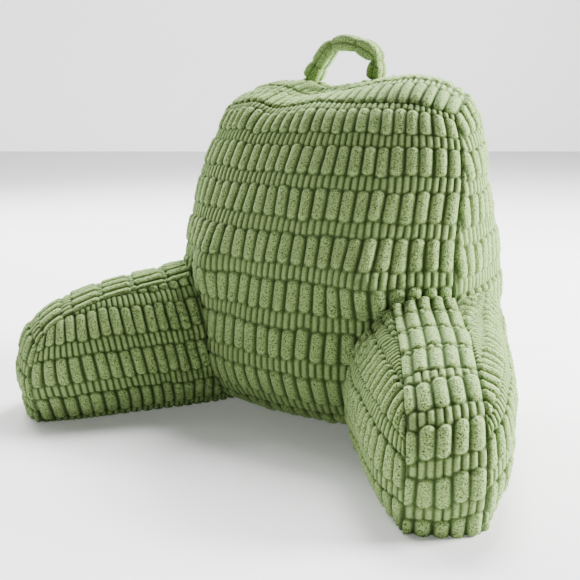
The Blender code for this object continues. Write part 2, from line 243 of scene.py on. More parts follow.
# The strap: its path's places and its half section, from one end to the other.
LOOP_COLUMNS = ("x", "y", "z", "half_width", "half_thickness")
LOOP_ROWS = (
    (-0.100, 0.121, 0.4604, 0.009, 0.0080),
    (-0.094, 0.119, 0.468, 0.013, 0.0105),
    (-0.084, 0.116, 0.480, 0.013, 0.0110),
    (-0.070, 0.113, 0.496, 0.012, 0.0085),
    (-0.056, 0.112, 0.508, 0.012, 0.0085),
    (-0.034, 0.112, 0.512, 0.012, 0.0085),
    (-0.014, 0.113, 0.508, 0.013, 0.0100),
    (0.004, 0.114, 0.500, 0.012, 0.0095),
    (0.015, 0.116, 0.489, 0.012, 0.0075),
    (0.013, 0.118, 0.473, 0.011, 0.0090),
    (0.009, 0.121, 0.4598, 0.009, 0.0080),
)
LOOP_SIDES = 64
LOOP_STEPS = 150
LOOP_RIBS = 4
STRAP_ROUNDING = 0.8
LOOP_BEAD = 0.040
FIRST_BEAD = 0.3
LOOP_PILE = 0.0074
# The strap's own skin lies this far below the path's section, and the pile stands on it.
LOOP_SKIN = 0.0028
LOOP_END_PINCH = 0.006
# The strap's mean radius, for the fuzz around it.
LOOP_RADIUS = 0.011

# Steps along a curve where its length is measured.
FINE_STEPS = 400

# Colours, as linear red, green and blue. The plush's green at its crests, and the same green darkened by
# painted shade for its grooves.
CREST_GREEN = (0.342, 0.492, 0.172)
GROOVE_SHADE_GREEN = (0.042, 0.074, 0.018)
SHEEN_GREEN = (0.68, 0.95, 0.50)
# How many specks, tufts and broad clouds of colour there are to a metre, and how deep the fibre's bump is.
SPECK_SCALE = 600.0
TUFT_SCALE = 500.0
BROAD_SCALE = 9.0
FIBRE_BUMP = 0.0014

CAMERA_PLACE = (0.638, -0.978, 0.451)
CAMERA_TARGET = (-0.0257, 0.0203, 0.1715)
LENS = 54.5

# The studio. Each light's name, place, target, size in metres and power in watts.
LIGHTS = (
    ("key_light", (2.4, 1.6, 1.4), (0.0, 0.0, 0.2), 1.0, 410),
    ("left_light", (-2.1, 0.8, 1.6), (0.0, 0.0, 0.2), 1.0, 105),
    ("back_light", (-0.3, 1.6, 2.6), (0.0, 0.0, 0.3), 1.2, 240),
)
WORLD_LIGHT = 0.06
FLOOR_SIZE = 30
# The floor and the wall give off this much light of their own, so that they stay pale.
FLOOR_GLOW = 0.16
WALL_GLOW = 1.2
WALL_PLACE = (-2.8, 4.2, 0)
WALL_TURN = 33.6


def smooth_curve(knots, values, at):
    """A cubic through the knots that doesn't overshoot."""
    knots = np.asarray(knots, float)
    values = np.asarray(values, float)
    at = np.clip(np.asarray(at, float), knots[0], knots[-1])
    gaps = np.diff(knots)
    slopes = np.diff(values) / gaps
    tangents = np.zeros(len(knots))
    tangents[0] = slopes[0]
    tangents[-1] = slopes[-1]
    for i in range(1, len(knots) - 1):
        before, after = slopes[i - 1], slopes[i]
        if before * after > 0:
            low = 2 * gaps[i] + gaps[i - 1]
            high = gaps[i] + 2 * gaps[i - 1]
            tangents[i] = (low + high) / (low / before + high / after)
    i = np.clip(np.searchsorted(knots, at) - 1, 0, len(gaps) - 1)
    t = (at - knots[i]) / gaps[i]
    return (
        (1 + 2 * t) * (1 - t) ** 2 * values[i]
        + t * (1 - t) ** 2 * gaps[i] * tangents[i]
        + t * t * (3 - 2 * t) * values[i + 1]
        + t * t * (t - 1) * gaps[i] * tangents[i + 1]
    )


def column(rows, columns, name, at):
    """A named column of a table, read at the shares in at. The table's first column holds the shares."""
    table = np.array(rows)
    return smooth_curve(table[:, 0], table[:, columns.index(name)], at)


def crowned_section(half, crown, count, rounding):
    """x and the crown's rise across a panel, at even steps along the cloth."""
    x = -np.cos(np.linspace(0, pi, FINE_STEPS))
    rise = (1 - x * x) ** rounding
    steps = np.hypot(np.diff(x) * half, np.diff(rise) * crown)
    along = np.concatenate([[0], np.cumsum(steps)])
    even = np.interp(np.linspace(0, along[-1], count), along, x)
    return even * half, np.clip(1 - even * even, 0, 1) ** rounding * crown


def backrest_face(side, columns, rows):
    """Points of the front or rear panel. Rows go from the floor to the top seam, columns to the right."""
    facing, rounding = (-1, FRONT_ROUNDING) if side == "front" else (1, REAR_ROUNDING)
    lowered = column(TOP_ROWS, TOP_COLUMNS, "lowered", np.linspace(0, 1, columns))
    start, full = LOWERED_LEVELS
    points = np.zeros((rows, columns, 3))
    for j, level in enumerate(np.linspace(0, 1, rows)):
        half, seam_y, crown, z = (
            float(column(BACKREST_ROWS, BACKREST_COLUMNS, f"{side}_{name}", level))
            for name in ("half", "seam_y", "crown", "z")
        )
        x, rise = crowned_section(half, crown, columns, rounding)
        follows = np.clip((level - start) / (full - start), 0, 1) ** 1.5
        points[j] = np.stack([x, seam_y + facing * rise, z - lowered * follows], axis=1)
    return points


def lined_up(edge, count):
    """A seam line with another number of points."""
    have = np.linspace(0, 1, len(edge))
    want = np.linspace(0, 1, count)
    return np.stack([np.interp(want, have, edge[:, k]) for k in range(3)], axis=1)


def ruled(edge, other, steps=2):
    """A sheet of straight lines between two lines of points."""
    share = np.linspace(0, 1, steps)[None, :, None]
    return edge[:, None] * (1 - share) + other[:, None] * share


def straight_across(line):
    """The straight line between a seam line's ends, with a point beside each of the seam's."""
    share = (line[:, :1] - line[0, 0]) / (line[-1, 0] - line[0, 0])
    return line[0] * (1 - share) + line[-1] * share


def bulged(front_edge, rear_edge, steps, outward):
    """A backrest strip's cloth between two seam lines: a row for each point of the seams."""
    share = np.linspace(0, 1, steps)[None, :, None]
    bulge = STRIP_BULGE * (4 * share * (1 - share)) ** STRIP_ROUNDING
    return ruled(front_edge, rear_edge, steps) + bulge * outward[:, None]


def outward_of(front_edge, rear_edge):
    """Unit vectors away from the backrest's middle along a strip between a front and a rear seam."""
    middle = (front_edge + rear_edge) / 2
    normal = np.cross(np.gradient(middle, axis=0), rear_edge - front_edge)
    normal /= np.linalg.norm(normal, axis=1)[:, None]
    return normal * np.sign(((middle - BACKREST_MIDDLE) * normal).sum(axis=1))[:, None]


def leaning(outward, corner, from_corner):
    """Turns directions toward a corner's shared one as from_corner goes from 1 down to 0."""
    share = np.clip(1 - from_corner, 0, 1)[:, None] ** 1.5
    return outward * (1 - share) + corner * share


def strip_directions(front, rear):
    """How the top strip stands out along its seams, and the left and right side strips along theirs."""
    across, up = np.linspace(0, 1, front.shape[1]), np.linspace(0, 1, front.shape[0])
    top = outward_of(front[-1], rear[-1]) * column(TOP_ROWS, TOP_COLUMNS, "bulge", across)[:, None]
    sides = []
    for edge, from_corner in ((0, across), (-1, 1 - across)):
        side = outward_of(front[:, edge], lined_up(rear[:, edge], len(front)))
        both = side[-1] + top[edge]
        corner = CORNER_BULGE * both / np.linalg.norm(both)
        sides.append(leaning(side, corner, (1 - up) / CORNER_UP))
        top = leaning(top, corner, from_corner / CORNER_ACROSS)
    return top, sides


def arm_place(along, across, z, side):
    """From an arm's own frame to the pillow's. side is 1 for the arm at +X and -1 for the other."""
    turn = radians(ARM_SPLAY)
    x = ARM_ROOT[0] + along * sin(turn) + across * cos(turn)
    y = ARM_ROOT[1] - along * cos(turn) + across * sin(turn)
    x, y, z = np.broadcast_arrays(x, y, z)
    return np.stack([side * x, y, z], axis=-1)


def arm_seam(share):
    """along and z of an arm's seam line, at shares of its length."""
    fine = np.linspace(0, 1, FINE_STEPS)
    along = column(ARM_ROWS, ARM_COLUMNS, "along", fine)
    z = column(ARM_ROWS, ARM_COLUMNS, "z", fine)
    length = np.concatenate([[0], np.cumsum(np.hypot(np.diff(along), np.diff(z)))])
    at = np.asarray(share) * length[-1]
    return np.interp(at, length, along), np.interp(at, length, z)


def arm_strip_points(share, across, side):
    """Points of an arm's strip, at shares of the seam line's length and of its half width."""
    along, z = arm_seam(share)
    before = arm_seam(np.clip(share - 0.004, 0, 1))
    after = arm_seam(np.clip(share + 0.004, 0, 1))
    step_along, step_z = after[0] - before[0], after[1] - before[1]
    length = np.hypot(step_along, step_z)
    crown = ARM_STRIP_CROWN * (1 - across**2) ** 0.8
    out_along = along - step_z / length * crown
    out_z = np.maximum(z + step_along / length * crown, 0)
    return arm_place(out_along, across * (ARM_STRIP_HALF - SEAM_GAP / 2), out_z, side)


def arm_side_points(p, q, outer, side, flat=False):
    """Points of a side panel: p from the backrest to the front end, q from the floor to the top seam."""
    top = arm_seam(p * TOP_SEAM_SHARE)
    front = arm_seam(1 - q * (1 - TOP_SEAM_SHARE))
    start, corner, end = arm_seam(0), arm_seam(TOP_SEAM_SHARE), arm_seam(1)
    on_floor = p - RIB_LEAN * np.sin(pi * p)
    low = start[0] + (end[0] - start[0]) * on_floor, 0.0
    front_low = end[0], 0.0
    sheet = [
        (1 - q) * low[k] + q * top[k] + p**3 * (front[k] - (1 - q) * front_low[k] - q * corner[k])
        for k in range(2)
    ]
    label, out = ("outer", 1) if outer else ("inner", -1)
    up = column(BULGE_UP_ROWS, BULGE_COLUMNS, label, q)
    away = column(BULGE_ALONG_ROWS, BULGE_COLUMNS, label, p)
    bulge = 0 if flat else SIDE_BULGE * up * away
    across = out * (ARM_STRIP_HALF + SEAM_GAP / 2 + bulge)
    return arm_place(sheet[0], across, sheet[1], side)


def clouds(x, y, lump, seed):
    """Smooth noise from -1 to 1 over two lengths, with lumps of about this size."""
    x = (x - x.min()) / lump
    y = (y - y.min()) / lump
    i, j = x.astype(int), y.astype(int)
    x, y = x - i, y - j
    x, y = x * x * (3 - 2 * x), y * y * (3 - 2 * y)
    table = np.random.default_rng(seed).uniform(-1, 1, (i.max() + 2, j.max() + 2))
    low = table[i, j] * (1 - x) + table[i + 1, j] * x
    high = table[i, j + 1] * (1 - x) + table[i + 1, j + 1] * x
    return low * (1 - y) + high * y


def rise(share):
    """From 0 to 1 as share goes from 0 to 1, round at the top like the side of a roll."""
    share = np.clip(share, 0, 1)
    return np.sqrt(1 - (1 - share) ** 2)


def fading(share, end, over):
    """1 at the start, and falling evenly to 0 over a last part that ends at this share."""
    return np.clip((end - share) / over, 0, 1)


def pile_height(ribs, run, pitch, seed, period, pill_share):
    """How high the plush stands, how much painted light each place gets (painted shade toward the grooves),
    and how looped its pile is, the last two from 0 to 1. ribs counts ribs across the cloth and run is the
    length along them."""
    run = run + (1 - PILL_SHARE) / 2 * period
    ribs = ribs + RIB_WANDER * clouds(ribs * RIB_PITCH, run, WANDER_LUMP, seed)
    i = np.floor(ribs).astype(int)
    k = np.floor(run / period).astype(int)
    i -= i.min()
    k -= k.min()
    vary = np.random.default_rng(seed).normal(size=(i.max() + 1, k.max() + 1, 5)).clip(-2, 2)[i, k]
    x = (ribs - np.floor(ribs) - 0.5) * pitch
    t = run - (np.floor(run / period) + 0.5) * period
    half_width = PILL_HALF_WIDTH * pitch * (1 + WIDTH_VARIES * vary[..., 0])
    half_length = pill_share / 2 * period * (1 + LENGTH_VARIES * vary[..., 1])
    aside = np.abs(x - ASIDE_VARIES * vary[..., 2])
    along = np.abs(t - AHEAD_VARIES * vary[..., 3]) - half_length
    ahead = np.maximum(along + PILL_END * half_width, 0) / PILL_END
    depth = 1 - np.hypot(aside, ahead) / half_width
    pill = PILL_HEIGHT * (1 + HEIGHT_VARIES * vary[..., 4]) * rise(depth)
    thin_depth = 1 - np.abs(np.abs(x) / pitch - THIN_RIB_OFFSET) / THIN_RIB_HALF_WIDTH
    beyond = np.clip((along + 0.25 * half_width) / THIN_RIB_START, 0, 1)
    beside = BESIDE_PILL + (1 - BESIDE_PILL) * beyond
    # Painted shade: a pill's or thin rib's edge is darkened where its neighbours would shade it.
    open_to_light = np.maximum(
        np.clip(depth / PILL_SHADOW, 0, 1),
        THIN_RIB_LIGHT * beside * np.clip(thin_depth / THIN_RIB_SHADOW, 0, 1),
    )
    looped = np.clip((depth - LOOPED_FROM) / LOOPED_OVER, 0, 1)
    return np.maximum(pill, THIN_RIB_HEIGHT * rise(thin_depth) * beside), open_to_light, looped


def lengths(points, axis):
    """The length along the cloth from its first row or column, at each point."""
    steps = np.linalg.norm(np.diff(points, axis=axis), axis=2)
    start = np.zeros_like(np.take(steps, [0], axis=axis))
    return np.concatenate([start, np.cumsum(steps, axis=axis)], axis=axis)


def lumpy(points):
    """The filling's soft lumps, the same for every panel at the same place, so that seams stay closed."""
    moved = np.array(points, float)
    away = points - np.array(BACKREST_MIDDLE)
    away = away / np.linalg.norm(away, axis=-1)[..., None] * (1, 1, 0.5)
    hold = np.clip(points[..., 2] / LUMPS_START, 0, 1)[..., None]
    for wave, start, depth in LUMPS:
        phase = points @ np.array(wave, float) + start
        moved += away * (depth * np.sin(phase))[..., None] * hold
    return moved


def gathered(points):
    """The front panel's cloth, pushed forward by the bunched filling where each arm is sewn on."""
    across, forward, up = (points[..., k] for k in range(3))
    from_bunch = np.hypot(
        (np.abs(across) - BUNCH_PLACE[0]) / BUNCH_SIZE[0],
        (up - BUNCH_PLACE[1]) / BUNCH_SIZE[1],
    )
    push = BUNCH_DEPTH * np.exp(-(from_bunch**2)) * (forward < BUNCH_BEHIND)
    return points + push[..., None] * (0, -1, 0)


def plush(
    points, inside, ribs, run, seed,
    sewn=("first_row", "last_row", "first_column", "last_column"),
    ribs_cross_rows=True, crumple=None, period=DASH_PERIOD, pill_share=PILL_SHARE,
):
    """Raises the pile on a sheet of cloth. Returns the points, and for each of them its painted light, with
    painted shade in grooves, creases and by the seams, and how looped it is."""
    points = lumpy(points)
    normal = np.cross(np.gradient(points, axis=0), np.gradient(points, axis=1))
    normal /= np.maximum(np.linalg.norm(normal, axis=2), 1e-9)[..., None]
    if ((points - np.array(inside)) * normal).sum() < 0:
        normal = -normal
    across_cloth, along_cloth = lengths(points, 1), lengths(points, 0)
    axis, length = (1, across_cloth) if ribs_cross_rows else (0, along_cloth)
    pitch = np.abs(np.gradient(length, axis=axis) / np.gradient(ribs, axis=axis))
    height, painted_light, looped = pile_height(ribs, run, np.clip(pitch, *RIB_PITCHES), seed, period, pill_share)
    height += FUZZ * clouds(across_cloth, along_cloth, FUZZ_LUMP, seed + 1) * (0.4 + height / PILL_HEIGHT)
    from_edge = {
        "first_row": along_cloth,
        "last_row": along_cloth[-1:] - along_cloth,
        "first_column": across_cloth,
        "last_column": across_cloth[:, -1:] - across_cloth,
    }
    nearest = np.min([from_edge[name] for name in sewn], axis=0)
    pinch = rise(nearest / SEAM_PINCH)
    if crumple is not None:
        beads = run / BEAD_LENGTH + BEAD_WANDER * clouds(across_cloth, along_cloth, BEAD_LUMP, seed + 3)
        crease = 1 - rise(CREASE_WIDTH * np.abs(beads % 1 - 0.5) * 2)
        height = height * (1 - CREASE_DEPTH * crumple * crease)
        # Creases get painted shade by the same share as they sink.
        painted_light = painted_light * (1 - CREASE_DEPTH * crumple * crease)
    height = np.maximum(height, LEAST_PILE)
    # Painted shade near the seams, where the pile is pinched.
    painted_light = painted_light * (0.4 + 0.6 * pinch)
    height = height * pinch
    if crumple is not None:
        fold = clouds(across_cloth, along_cloth, FOLD_LUMP, seed + 2)
        height = height + FOLD_HEIGHT * crumple * fold * rise(nearest / FOLD_FROM_SEAM)
    moved = points + normal * height[..., None]
    moved[..., 2] = np.maximum(moved[..., 2], 0)
    return moved, np.stack([painted_light, looped], axis=-1)


def plush_piece(name, cloths, sheets, material, shift=(0, 0, 0)):
    """One closed padded piece of sheets that meet at their edges. Each cloth comes with its painted light and
    how looped its pile is.
    """
    mesh = bmesh.new()
    painted_light_layer = mesh.verts.layers.float.new("painted_light")
    looped_layer = mesh.verts.layers.float.new("looped")
    move = np.array([shift[0], shift[1] - FLOOR_MIDDLE_Y, shift[2]])
    for points, painted_light in [*cloths, *((sheet, None) for sheet in sheets)]:
        rows, columns = points.shape[:2]
        made = bmesh.ops.create_grid(mesh, x_segments=columns - 1, y_segments=rows - 1, size=1)["verts"]
        places = (points + move).reshape(-1, 3).tolist()
        # Plain sheets get 0.4 of the painted light, a painted shade between groove and crest.
        painted_light_and_loops = painted_light.reshape(-1, 2).tolist() if painted_light is not None else [(0.4, 0.0)] * len(places)
        for vertex, place, (open_to_light, looped) in zip(made, places, painted_light_and_loops):
            vertex.co = place
            vertex[painted_light_layer] = open_to_light
            vertex[looped_layer] = looped
        for face in {face for vertex in made for face in vertex.link_faces}:
            face.smooth = painted_light is not None
    bmesh.ops.remove_doubles(mesh, verts=mesh.verts[:], dist=0.00002)
    bmesh.ops.dissolve_degenerate(mesh, edges=mesh.edges[:], dist=0.00001)
    open_edges = [edge for edge in mesh.edges if edge.is_boundary]
    filled = bmesh.ops.holes_fill(mesh, edges=open_edges, sides=0)["faces"]
    bmesh.ops.triangulate(mesh, faces=filled)
    bmesh.ops.recalc_face_normals(mesh, faces=mesh.faces[:])
    data = bpy.data.meshes.new(name)
    mesh.to_mesh(data)
    mesh.free()
    data.materials.append(material)
    piece = bpy.data.objects.new(name, data)
    bpy.context.scene.collection.objects.link(piece)
    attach(piece, "root")
    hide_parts(name.removesuffix("_plush"))
    return piece


class Shade:
    """A number or colour in a material, so that shading is written as a formula of + - * and **."""

    def __init__(self, tree, socket):
        self.tree = tree
        self.socket = socket

    def node(self, kind, settings=None, inputs=None, output=0):
        made = self.tree.nodes.new(kind)
        for name, value in (settings or {}).items():
            setattr(made, name, value)
        for name, value in (inputs or {}).items():
            if isinstance(value, Shade):
                self.tree.links.new(value.socket, made.inputs[name])
            else:
                made.inputs[name].default_value = value
        return Shade(self.tree, made.outputs[output])

    def math(self, operation, *values, clamp=False):
        inputs = dict(enumerate(values))
        return self.node("ShaderNodeMath", {"operation": operation, "use_clamp": clamp}, inputs)

    def __add__(self, other):
        return self.math("ADD", self, other)

    def __sub__(self, other):
        return self.math("SUBTRACT", self, other)

    def __mul__(self, other):
        return self.math("MULTIPLY", self, other)

    def __pow__(self, other):
        return self.math("POWER", self, other)

    def __radd__(self, other):
        return self.math("ADD", other, self)

    def __rsub__(self, other):
        return self.math("SUBTRACT", other, self)

    def __rmul__(self, other):
        return self.math("MULTIPLY", other, self)

    def limited(self):
        return self.math("ADD", self, 0.0, clamp=True)

    def tinted(self, low, high):
        """The colour low where this number is 0, and high where it is 1."""
        return self.node("ShaderNodeMix", {"data_type": "RGBA"}, {0: self, 6: low, 7: high}, output=2)


def plush_material():
    """The plush: painted light on its crests and painted shade in its grooves, speckled where its pile is
    looped.
    """
    material = bpy.data.materials.new("green_plush")
    material.use_nodes = True
    tree = material.node_tree
    shader = tree.nodes["Principled BSDF"]
    start = Shade(tree, None)
    place = start.node("ShaderNodeTexCoord", output="Object")
    painted_light = start.node("ShaderNodeAttribute", {"attribute_name": "painted_light"}, output="Fac")
    looped = start.node("ShaderNodeAttribute", {"attribute_name": "looped"}, output="Fac")
    specks = start.node("ShaderNodeTexNoise", {}, {"Vector": place, "Scale": SPECK_SCALE, "Detail": 1.0})
    tufts = start.node("ShaderNodeTexVoronoi", {}, {"Vector": place, "Scale": TUFT_SCALE})
    broad = start.node("ShaderNodeTexNoise", {}, {"Vector": place, "Scale": BROAD_SCALE, "Detail": 2.0})
    speckle = (
        (specks - 0.5) * (0.3 + painted_light * (0.7 + 2.2 * looped))
        + (0.40 - tufts) * (0.3 + 0.8 * looped) * painted_light
    )
    # The painted light from the cloth's attribute darkens the grooves; the speckle and broad clouds are the
    # plush's own tone.
    lightness = (0.92 * painted_light**1.2 - 0.02 + speckle + (broad - 0.5) * 0.25).limited()
    colour = lightness.tinted((*GROOVE_SHADE_GREEN, 1), (*CREST_GREEN, 1))
    tree.links.new(colour.socket, shader.inputs["Base Color"])
    fibre = (specks * 0.7 + (0.5 - tufts) * 0.8) * (0.3 + 0.7 * looped)
    bump = start.node("ShaderNodeBump", {}, {"Strength": 0.7, "Distance": FIBRE_BUMP, "Height": fibre})
    tree.links.new(bump.socket, shader.inputs["Normal"])
    shader.inputs["Roughness"].default_value = 0.95
    shader.inputs["Specular IOR Level"].default_value = 0.15
    shader.inputs["Sheen Weight"].default_value = 0.35
    shader.inputs["Sheen Roughness"].default_value = 0.5
    shader.inputs["Sheen Tint"].default_value = (*SHEEN_GREEN, 1)
    return material


def rib_grid(rows, columns, ribs):
    """The count of ribs from the first column, at each point of a sheet whose ribs run along its columns."""
    return np.broadcast_to(np.linspace(0, ribs, columns), (rows, columns))


def build_backrest(material):
    """The front and rear panels, the two side strips and the top strip."""
    rows = BACKREST_POINTS_UP
    across = POINTS_A_RIB * BACKREST_RIBS + 1
    front = gathered(backrest_face("front", across, rows))
    rear = backrest_face("rear", across, rows)
    sewn = ("last_row", "first_column", "last_column")
    for name, face, shift, seed in (("front", front, -SEAM_GAP, 11), ("rear", rear, SEAM_GAP, 12)):
        middle = lengths(face, 0)[:, across // 2]
        below_seam = middle[-1] - middle
        run = below_seam - FIRST_PILL + FIRST_ROW_SHORTER * np.clip(below_seam / DASH_PERIOD, 0, 1)
        run = np.broadcast_to(run[:, None], (rows, across))
        ribs = rib_grid(rows, across, BACKREST_RIBS)
        from_arm = np.hypot(np.abs(face[..., 0]) - CRUMPLE_PLACE[0], face[..., 2] - CRUMPLE_PLACE[1])
        crumple = 0.8 * np.exp(-((from_arm / CRUMPLE_REACH) ** 2)) if name == "front" else None
        cloth = plush(face, BACKREST_MIDDLE, ribs, run, seed, sewn, crumple=crumple)
        soft = lumpy(face)
        sheets = [ruled(soft[:-1, 0], soft[:-1, -1], 3), ruled(soft[-1], straight_across(soft[-1]))]
        plush_piece(f"backrest_{name}_panel_plush", [cloth], sheets, material, (0, shift, 0))
    top_outward, side_outward = strip_directions(front, rear)
    in_front = (lumpy(front[:, 0]) + lumpy(front[:, -1])) / 2
    behind = (lumpy(rear[:, 0]) + lumpy(rear[:, -1])) / 2
    for name, edge, side, seed in (("left", 0, -1, 13), ("right", -1, 1, 14)):
        front_edge, rear_edge = front[:, edge], rear[:, edge]
        cloth = bulged(front_edge, rear_edge, SIDE_STRIP_POINTS, side_outward[edge])
        cloth[0, :, 2] = 0
        from_front = lengths(cloth, 1)
        ribs = (from_front[:, -1:] - from_front) / RIB_PITCH
        rear_length = lengths(cloth, 0)[:, -1:]
        run = np.broadcast_to(rear_length[-1] - rear_length, ribs.shape)
        covered = plush(cloth, BACKREST_MIDDLE, ribs, run, seed, sewn)
        front_edge, rear_edge = lumpy(front_edge), lumpy(rear_edge)
        lid = lumpy(ruled(front[-1:, edge], rear[-1:, edge], SIDE_STRIP_POINTS)[0])
        lid_middle = ruled(in_front[-1:], behind[-1:], SIDE_STRIP_POINTS)[0]
        sheets = [
            ruled(front_edge, in_front),
            ruled(rear_edge, behind),
            ruled(in_front, behind),
            ruled(lid, lid_middle),
            ruled(lid, lumpy(cloth[-1])),
        ]
        shift = (side * SEAM_GAP, 0, 0)
        plush_piece(f"backrest_{name}_side_strip_plush", [covered], sheets, material, shift)
    steps = TOP_STRIP_POINTS
    cloth = bulged(front[-1], rear[-1], steps, top_outward)
    ribs = rib_grid(steps, across, BACKREST_RIBS).T
    run = np.broadcast_to(lengths(cloth, 1)[across // 2], (across, steps))
    crumple = np.clip((0.55 - ribs / BACKREST_RIBS) / 0.3, 0.1, 0.4)
    covered = plush(cloth, BACKREST_MIDDLE, ribs, run, 15, ribs_cross_rows=False, crumple=crumple)
    front_edge, rear_edge = lumpy(front[-1]), lumpy(rear[-1])
    front_chord, rear_chord = straight_across(front_edge), straight_across(rear_edge)
    sheets = [
        ruled(front_edge, front_chord),
        ruled(front_chord, rear_chord),
        ruled(rear_chord, rear_edge),
        ruled(lumpy(ruled(front[-1, :1], rear[-1, :1], steps)[0]), lumpy(cloth[0])),
        ruled(lumpy(ruled(front[-1, -1:], rear[-1, -1:], steps)[0]), lumpy(cloth[-1])),
    ]
    plush_piece("backrest_top_strip_plush", [covered], sheets, material, (0, 0, SEAM_GAP))


def backrest_form():
    """The backrest's outer form without its pile, to measure distances from."""
    front = gathered(backrest_face("front", 97, 101))
    rear = backrest_face("rear", 97, 101)
    sheets = [front, rear]
    side_outward = strip_directions(front, rear)[1]
    for edge in (0, -1):
        sheets.append(bulged(front[:, edge], rear[:, edge], 15, side_outward[edge]))
    points, faces = [], []
    for sheet in sheets:
        rows, columns = sheet.shape[:2]
        base = len(points)
        normal = np.cross(np.gradient(sheet, axis=0), np.gradient(sheet, axis=1))
        outward = ((sheet - np.array(BACKREST_MIDDLE)) * normal).sum() > 0
        points += [Vector(point) for point in sheet.reshape(-1, 3).tolist()]
        for j in range(rows - 1):
            for i in range(columns - 1):
                face = [base + j * columns + i, base + (j + 1) * columns + i,
                        base + (j + 1) * columns + i + 1, base + j * columns + i + 1]
                faces.append(face if outward else face[::-1])
    return BVHTree.FromPolygons(points, faces)


def outside_by(form, point):
    """How far a point is outside the backrest, or less than 0 inside it."""
    place, normal, _, _ = form.find_nearest(Vector(point))
    return (Vector(point) - place).dot(normal)


def leaves_backrest(form, line):
    """The share along a line of points at which it comes clear of the backrest. It starts inside it."""
    distances = [outside_by(form, point) for point in line[::-1].tolist()]
    for i in range(1, len(distances)):
        if distances[i] < CLEAR_OF_BACKREST:
            part = (distances[i - 1] - CLEAR_OF_BACKREST) / (distances[i - 1] - distances[i])
            return 1 - (i - 1 + part) / (len(distances) - 1)
    return 0.0


def evened(values, reach=3):
    """A line of values with small jumps smoothed away."""
    padded = np.concatenate([[values[0]] * reach, values, [values[-1]] * reach])
    return np.convolve(padded, np.ones(2 * reach + 1) / (2 * reach + 1), "valid")


def build_arm(name, side, seed, material, form):
    """An arm's strip and its inner and outer side panels."""
    inside = arm_place(*ARM_MIDDLE, side)
    probe = np.linspace(0, STRIP_IN_BACKREST, 81)
    rows, columns = ARM_STRIP_POINTS
    across = np.linspace(-1, 1, columns)
    start = evened([
        STRIP_IN_BACKREST * leaves_backrest(form, arm_strip_points(probe, np.full_like(probe, a), side))
        for a in across
    ])
    share = start[None] + (1 - start[None]) * np.linspace(0, 1, rows)[:, None]
    across = np.broadcast_to(across, (rows, columns))
    cloth = arm_strip_points(share, across, side)
    ribs = (1 - across) / 2 * ARM_STRIP_RIBS
    total = lengths(cloth, 0)[:, columns // 2]
    from_floor = (1 - share) / (1 - start[columns // 2]) * total[-1]
    run = from_floor + ARM_STRIP_CUT_PILL - ARM_ROW_CLIMB * across
    pill_share = PILL_SHARE + LONGER_ON_TOP * fading(share, TOP_OF_ARM, LONGER_FADE)
    crumple = fading(share, STRIP_CRUMPLE_END, CRUMPLE_FADE)
    sewn = ("first_row", "first_column", "last_column")
    covered = plush(
        cloth, inside, ribs, run, seed, sewn,
        crumple=crumple, period=ARM_STRIP_DASH_PERIOD, pill_share=pill_share,
    )
    seams = lumpy(cloth)
    along = arm_seam(share)[0]
    flat = across * (ARM_STRIP_HALF - SEAM_GAP / 2)
    low = arm_place(np.minimum(along, along[-1, columns // 2]), flat, 0.0, side)
    sheets = [
        ruled(seams[:, 0], low[:, 0]),
        ruled(seams[:, -1], low[:, -1]),
        np.stack([low[:, 0], low[:, -1]], axis=1),
        np.stack([seams[0], low[0]]),
    ]
    plush_piece(f"{name}_arm_strip_plush", [covered], sheets, material)
    for label, outer, more in (("inner", False, 1), ("outer", True, 2)):
        columns, rows = ARM_SIDE_RIBS * ARM_POINTS_A_RIB + 1, ARM_SIDE_POINTS_UP
        q = np.linspace(0, 1, rows)
        probe = np.linspace(0, SIDE_IN_BACKREST, 61)
        # The bulging cloth, and the flat sheet behind it, against the filling of the arm's strip.
        starts = {}
        for flat in (False, True):
            lines = (arm_side_points(probe, np.full_like(probe, level), outer, side, flat) for level in q)
            starts[flat] = np.array([SIDE_IN_BACKREST * leaves_backrest(form, line) for line in lines])
        starts[True][-1] = starts[False][-1]
        grids = {}
        for flat in (False, True):
            begin = evened(starts[flat])
            begin[-1] = starts[False][-1]
            p = begin[:, None] + (1 - begin[:, None]) * np.linspace(0, 1, columns)[None]
            grids[flat] = p, arm_side_points(p, np.broadcast_to(q[:, None], p.shape), outer, side, flat)
        p, cloth = grids[False]
        sheet = lumpy(grids[True][1])
        # Rows of pills lie between level and alongside the seam.
        height = lengths(cloth, 0)
        below_seam = height[-1:] - height
        above_floor = height[-1, columns // 2] - height
        along_seam = (below_seam + below_seam[:, columns // 2, None]) / 2
        run = (along_seam + above_floor) / 2 - FIRST_ARM_SIDE_PILL
        crumple = fading(p - p[:, :1], SIDE_CRUMPLE_END, CRUMPLE_FADE) * SIDE_CRUMPLE
        sewn = ("last_row", "first_column", "last_column")
        covered = plush(
            cloth, inside, p * ARM_SIDE_RIBS, run, seed + more, sewn,
            crumple=crumple, period=ARM_SIDE_DASH_PERIOD,
        )
        edge = lumpy(cloth)
        sheets = [
            np.stack([edge[-1], sheet[-1]]),
            ruled(edge[:, 0], sheet[:, 0]),
            ruled(edge[:, -1], sheet[:, -1]),
            sheet[:, ::ARM_POINTS_A_RIB],
        ]
        plush_piece(f"{name}_arm_{label}_panel_plush", [covered], sheets, material)


